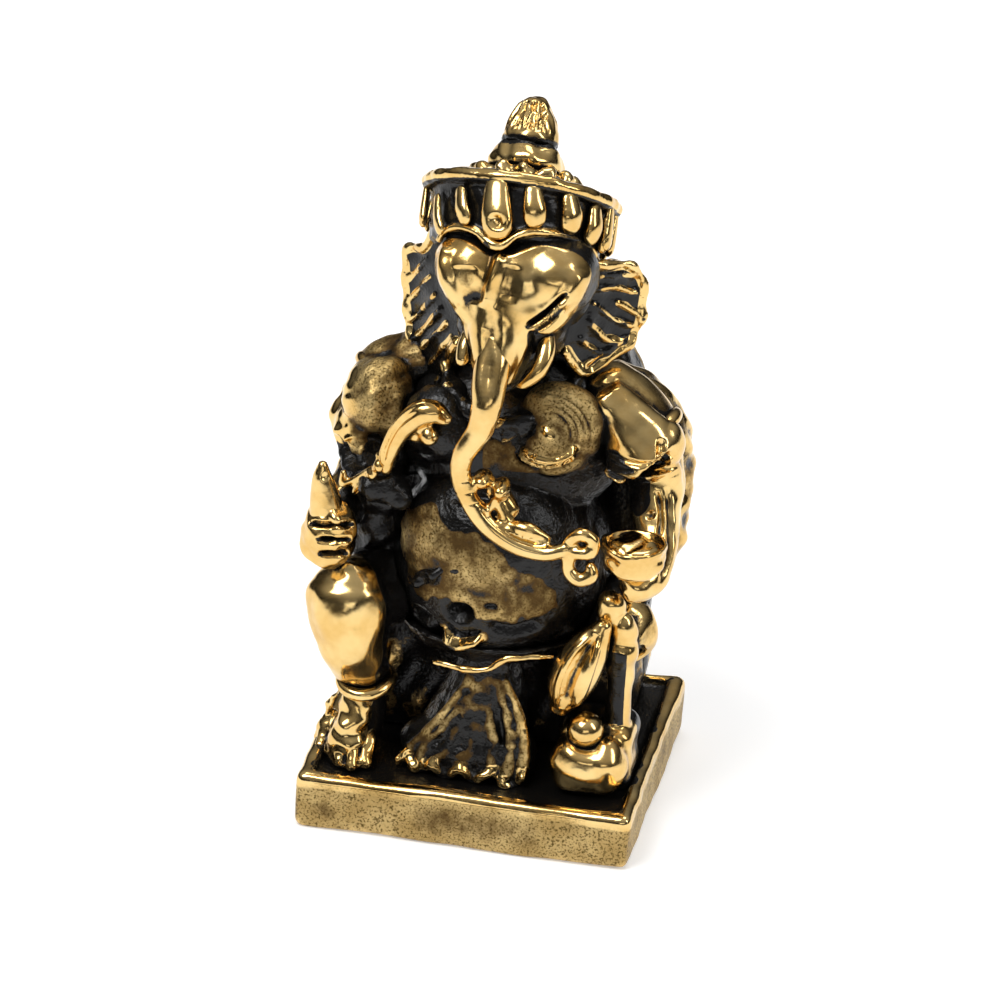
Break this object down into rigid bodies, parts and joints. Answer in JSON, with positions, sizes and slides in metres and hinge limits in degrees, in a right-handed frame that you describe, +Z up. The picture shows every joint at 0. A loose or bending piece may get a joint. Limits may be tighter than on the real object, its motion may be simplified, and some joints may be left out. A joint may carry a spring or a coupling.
{
  "type": "deity statuette",
  "caption": "Miniature gilded brass figure of a seated elephant-headed deity with a leaning crown, on a square rimmed plinth.",
  "frame": {"origin": "centre of the plinth's underside", "axes": "+Z up, the figure faces -Y, +X is the figure's left (the viewer's right)"},
  "size_m": [0.0153, 0.013, 0.0297],
  "materials": {
    "polished_brass": "gold-plated, mirror polished on high places, black patina in the hollows",
    "cast_brass": "gold-plated, satin pitted cast surface with black patina",
    "blackened_brass": "glossy black patina with gold on the ridges"
  },
  "bodies": {
    "root": {"belt": "cast_brass", "broken_tusk": "polished_brass", "crown_band": "polished_brass", "crown_bead_ring": "cast_brass", "crown_collar": "polished_brass", "crown_finial": "polished_brass", "crown_jewels": "polished_brass", "goad": "polished_brass", "head": "polished_brass", "left_armlet": "polished_brass", "left_ear": "polished_brass", "left_front_arm": "polished_brass", "left_leg": "blackened_brass", "left_rear_arm": "blackened_brass", "left_tusk": "polished_brass", "mouse_body": "cast_brass", "mouse_head": "polished_brass", "mouse_sweet": "polished_brass", "necklace": "cast_brass", "noose": "cast_brass", "plinth": "cast_brass", "right_anklet": "polished_brass", "right_armlet": "polished_brass", "right_ear": "cast_brass", "right_foot": "polished_brass", "right_front_arm": "cast_brass", "right_hand": "polished_brass", "right_leg": "polished_brass", "right_rear_arm": "cast_brass", "right_tusk_stub": "polished_brass", "sacred_thread": "cast_brass", "seat": "cast_brass", "skirt": "blackened_brass", "sweets": "polished_brass", "sweets_bowl": "cast_brass", "throne_back": "cast_brass", "torso": "cast_brass", "trunk": "polished_brass"}
  },
  "joints": []
}
